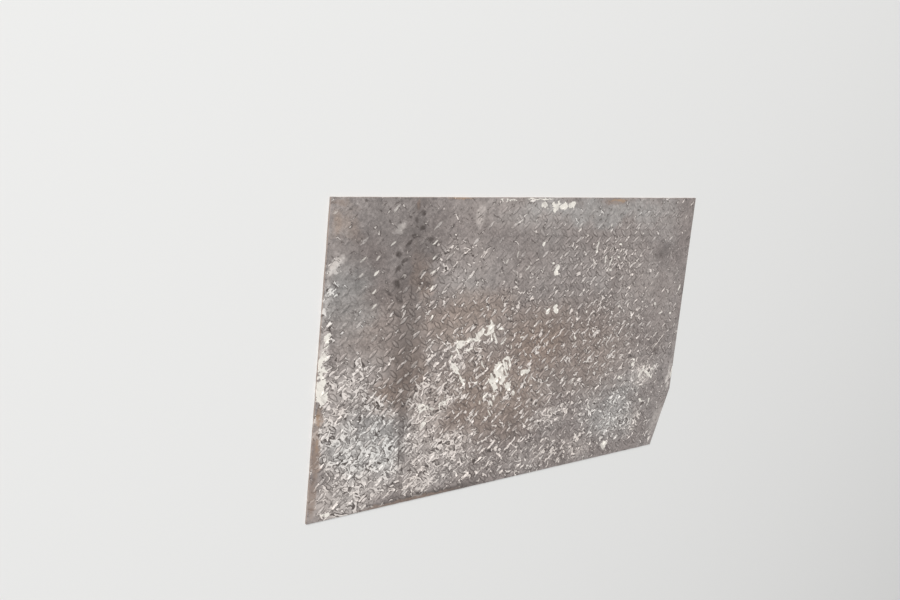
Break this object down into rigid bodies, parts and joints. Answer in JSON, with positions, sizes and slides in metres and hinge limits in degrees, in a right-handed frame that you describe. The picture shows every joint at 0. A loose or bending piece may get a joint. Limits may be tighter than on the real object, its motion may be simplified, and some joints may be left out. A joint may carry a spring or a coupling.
{
  "type": "steel tread plate",
  "caption": "Flat rolled steel plate with raised diamond-pattern tread lugs on its upper face, hand-cut with one clipped corner.",
  "frame": {"origin": "middle of the underside's overall box, on the surface that the plate lies on", "axes": "+X along the plate's length, +Y towards the edge that stood uppermost, +Z out of the lugged face"},
  "size_m": [0.992, 0.649, 0.008],
  "materials": {
    "rolled_steel": "hot-rolled, weathered, lug crowns rubbed bright, stained and rust-edged"
  },
  "bodies": {
    "root": {"tread_plate": "rolled_steel"}
  },
  "joints": []
}
